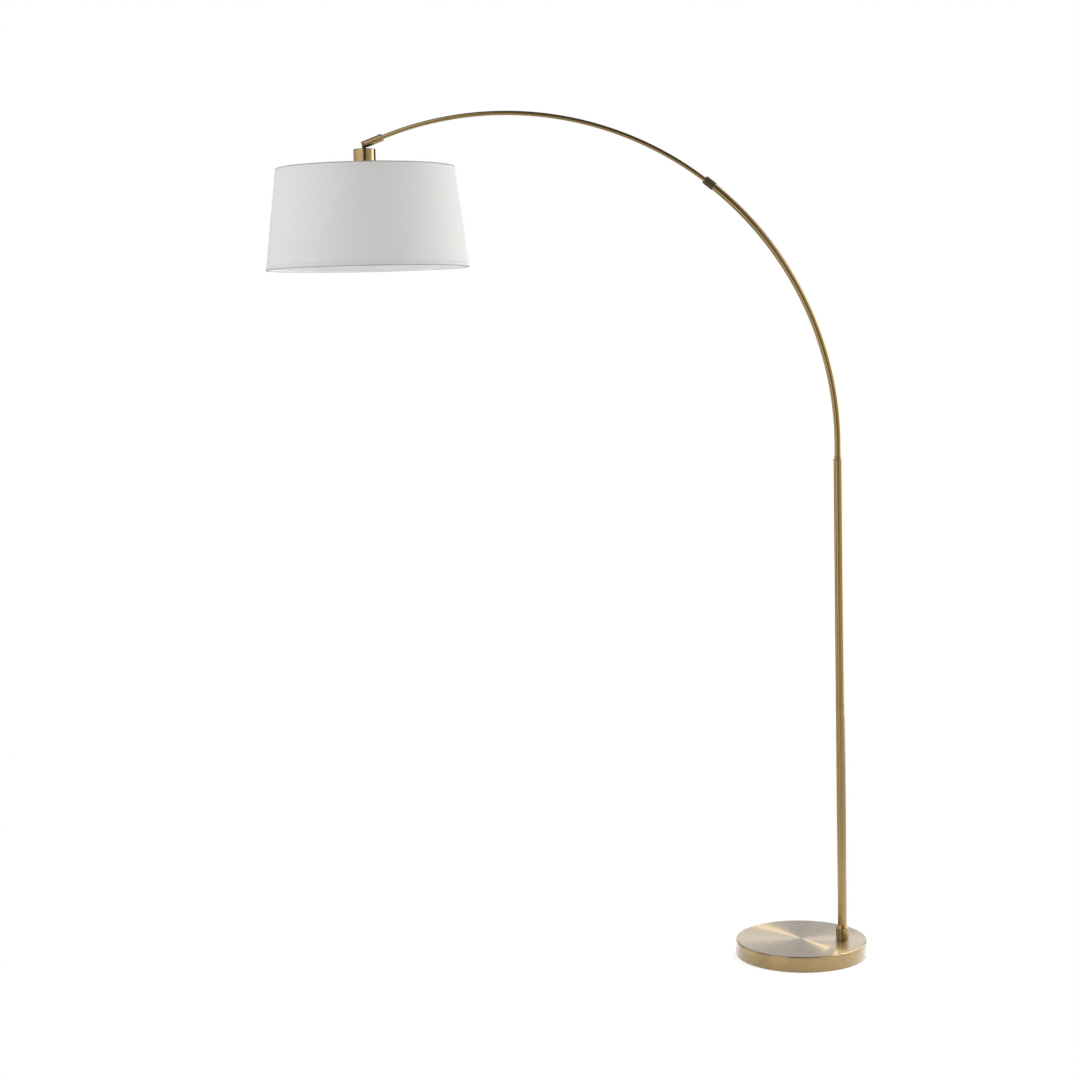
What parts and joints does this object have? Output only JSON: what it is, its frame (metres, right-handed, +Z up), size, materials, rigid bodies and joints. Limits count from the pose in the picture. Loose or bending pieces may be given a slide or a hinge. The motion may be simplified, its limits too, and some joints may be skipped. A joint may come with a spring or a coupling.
{
  "type": "arc floor lamp",
  "caption": "Arc floor lamp: weighted round base, off-centre pole, telescoping curved arm with a lock collar, swivel joint, and a tapered drum shade.",
  "frame": {"origin": "centre of the base's underside, on the floor", "axes": "+Z up; +X from the middle of the base towards the pole; the arm lies in the XZ plane and reaches towards -X"},
  "size_m": [1.301, 0.4472, 1.8787],
  "materials": {
    "antique_brass": "brushed antique brass plate, satin",
    "dark_bronze": "dark antique bronze, satin",
    "cast_iron": "as cast, primed",
    "zinc_steel": "zinc plated",
    "pad_felt": "pressed felt",
    "black_rubber": "moulded",
    "nylon": "natural nylon",
    "lead_sheath": "PVC sheath",
    "black_metal": "black oxide",
    "black_phenolic": "moulded phenolic",
    "porcelain": "glazed",
    "contact_brass": "bare",
    "white_wire": "white powder coat",
    "shade_fabric": "woven off-white fabric on a stiff backing",
    "nickel": "nickel plated",
    "bulb_plastic": "white",
    "frosted_glass": "frosted"
  },
  "bodies": {
    "stand": {"base_cover": "antique_brass", "base_weight": "cast_iron", "base_pad": "pad_felt", "base_washer": "zinc_steel", "base_bolt": "zinc_steel", "pole_foot_plug": "zinc_steel", "pole_foot_collar": "antique_brass", "lower_pole_tube": "antique_brass", "cord_outlet_grommet": "black_rubber", "pole_coupler": "antique_brass", "upper_pole_tube": "antique_brass", "pole_top_cap": "antique_brass", "swivel_lower_bush": "nylon", "lead_in_pole": "lead_sheath"},
    "lower_arm": {"arm_lower_tube": "antique_brass", "arm_stop_ring": "antique_brass", "arm_guide_collet": "nylon", "lead_in_lower_arm": "lead_sheath"},
    "lock": {"lock_collar": "dark_bronze"},
    "upper_arm": {"arm_upper_tube": "antique_brass", "arm_tail_slider": "nylon", "end_sleeve": "antique_brass", "sleeve_grub_screw": "dark_bronze", "pivot_screws": "dark_bronze", "lead_in_upper_arm": "lead_sheath"},
    "lamp_head": {"swivel_yoke": "black_metal", "lead_pivot_bend": "lead_sheath", "socket_cup": "antique_brass", "yoke_locknut": "zinc_steel", "lampholder_cap": "black_phenolic", "lampholder_core": "porcelain", "terminal_screws": "zinc_steel", "lead_in_head": "lead_sheath", "screw_shell": "contact_brass", "centre_contact": "contact_brass", "lampholder_skirt": "black_phenolic", "shade_ring_nut": "black_phenolic", "shade_spider": "white_wire", "shade_bottom_wire": "white_wire", "shade_wall": "shade_fabric", "bulb_cap": "nickel", "bulb_body": "bulb_plastic", "bulb_dome": "frosted_glass"}
  },
  "joints": [
    {"name": "arm_swivel", "type": "hinge", "parent": "stand", "child": "lower_arm", "pos_m": [0.0915, 0, 1.107], "axis": [0, 0, 1], "range_deg": [-170, 170]},
    {"name": "lock_collar_turn", "type": "hinge", "parent": "lower_arm", "child": "lock", "pos_m": [-0.17946, 0, 1.71004], "axis": [-0.7763, 0, 0.6303], "range_deg": [0, 120]},
    {"name": "arm_extend", "type": "hinge", "parent": "lower_arm", "child": "upper_arm", "pos_m": [-0.6415, 0, 1.141], "axis": [0, -1, 0], "range_deg": [-24, 8], "deforming": ["lead_in_lower_arm"]},
    {"name": "shade_tilt", "type": "hinge", "parent": "upper_arm", "child": "lamp_head", "pos_m": [-0.93249, 0, 1.81517], "axis": [0, 1, 0], "range_deg": [-22, 60], "deforming": ["lead_pivot_bend"]}
  ]
}
